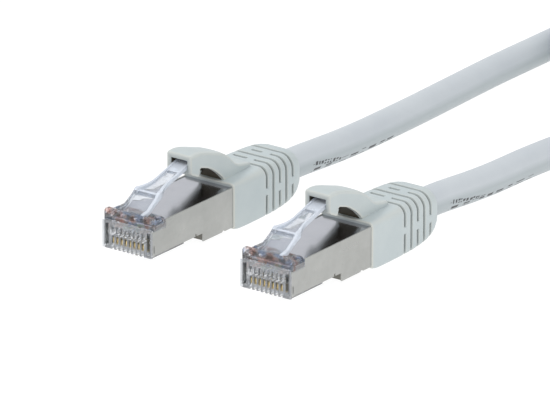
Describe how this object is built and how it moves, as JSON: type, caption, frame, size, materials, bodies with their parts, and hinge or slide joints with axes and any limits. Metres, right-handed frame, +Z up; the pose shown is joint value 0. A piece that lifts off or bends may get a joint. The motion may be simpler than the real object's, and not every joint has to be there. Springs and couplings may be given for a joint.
{
  "type": "shielded ethernet patch cable",
  "caption": "Shielded ethernet patch cable with clear modular plugs, nickel-plated shells, grooved strain-relief boots, hooded locking tabs and a round grey jacket",
  "frame": {"origin": "midway between the two plugs, on the surface they lie on", "axes": "+Y from the noses of the plugs to their cable, +X to the plugs' right seen from behind the nose looking along the cable, +Z up; the locking tabs are on top"},
  "size_m": [0.0575, 0.2438, 0.0178],
  "materials": {
    "housing_clear": "clear moulded polycarbonate",
    "boot_plastic": "satin light grey moulded soft plastic",
    "shield_nickel": "satin nickel-plated stamped sheet",
    "load_bar_clear": "clear moulded plastic",
    "braid_wire": "tinned copper braid",
    "cable_jacket": "smooth light grey extruded jacket",
    "contact_gold": "gold-plated phosphor bronze",
    "tie_strap": "black woven hook-and-loop strap",
    "wire_white_orange": "smooth polyethylene insulation",
    "wire_orange": "smooth polyethylene insulation",
    "wire_white_green": "smooth polyethylene insulation",
    "wire_blue": "smooth polyethylene insulation",
    "wire_white_blue": "smooth polyethylene insulation",
    "wire_green": "smooth polyethylene insulation",
    "wire_white_brown": "smooth polyethylene insulation",
    "wire_brown": "smooth polyethylene insulation"
  },
  "bodies": {
    "plugs_and_cable": {"plug_housing_a": "housing_clear", "strain_boot_a": "boot_plastic", "shield_shell_a": "shield_nickel", "load_bar_a": "load_bar_clear", "braid_collar_a": "braid_wire", "crimp_ferrule_a": "shield_nickel", "cable_jacket_end_a": "cable_jacket", "contact_1_a": "contact_gold", "conductor_1_a": "wire_white_orange", "contact_2_a": "contact_gold", "conductor_2_a": "wire_orange", "contact_3_a": "contact_gold", "conductor_3_a": "wire_white_green", "contact_4_a": "contact_gold", "conductor_4_a": "wire_blue", "contact_5_a": "contact_gold", "conductor_5_a": "wire_white_blue", "contact_6_a": "contact_gold", "conductor_6_a": "wire_green", "contact_7_a": "contact_gold", "conductor_7_a": "wire_white_brown", "contact_8_a": "contact_gold", "conductor_8_a": "wire_brown", "plug_housing_b": "housing_clear", "strain_boot_b": "boot_plastic", "shield_shell_b": "shield_nickel", "load_bar_b": "load_bar_clear", "braid_collar_b": "braid_wire", "crimp_ferrule_b": "shield_nickel", "cable_jacket_end_b": "cable_jacket", "contact_1_b": "contact_gold", "conductor_1_b": "wire_white_orange", "contact_2_b": "contact_gold", "conductor_2_b": "wire_orange", "contact_3_b": "contact_gold", "conductor_3_b": "wire_white_green", "contact_4_b": "contact_gold", "conductor_4_b": "wire_blue", "contact_5_b": "contact_gold", "conductor_5_b": "wire_white_blue", "contact_6_b": "contact_gold", "conductor_6_b": "wire_green", "contact_7_b": "contact_gold", "conductor_7_b": "wire_white_brown", "contact_8_b": "contact_gold", "conductor_8_b": "wire_brown", "cable_run_a": "cable_jacket", "cable_run_b": "cable_jacket", "cable_hank": "cable_jacket", "hank_tie": "tie_strap"},
    "hood_a": {"tab_hood_a": "boot_plastic"},
    "tab_a": {"locking_tab_a": "housing_clear"},
    "hood_b": {"tab_hood_b": "boot_plastic"},
    "tab_b": {"locking_tab_b": "housing_clear"}
  },
  "joints": [
    {"name": "hood_press_a", "type": "hinge", "parent": "plugs_and_cable", "child": "hood_a", "pos_m": [-0.0169, 0.0044, 0.0103], "axis": [1, 0, 0], "range_deg": [0, 14], "stiffness_Nm_per_rad": 0.05},
    {"name": "tab_press_a", "type": "hinge", "parent": "plugs_and_cable", "child": "tab_a", "pos_m": [-0.0169, -0.0216, 0.01015], "axis": [-1, 0, 0], "range_deg": [0, 11], "stiffness_Nm_per_rad": 0.05},
    {"name": "hood_press_b", "type": "hinge", "parent": "plugs_and_cable", "child": "hood_b", "pos_m": [0.0169, 0.003, 0.0103], "axis": [1, 0, 0], "range_deg": [0, 14], "stiffness_Nm_per_rad": 0.05},
    {"name": "tab_press_b", "type": "hinge", "parent": "plugs_and_cable", "child": "tab_b", "pos_m": [0.0169, -0.023, 0.01015], "axis": [-1, 0, 0], "range_deg": [0, 11], "stiffness_Nm_per_rad": 0.05}
  ],
  "couplings": [
    {"joint": "tab_press_a", "follows": "hood_press_a", "ratio": 0.77},
    {"joint": "tab_press_b", "follows": "hood_press_b", "ratio": 0.77}
  ]
}
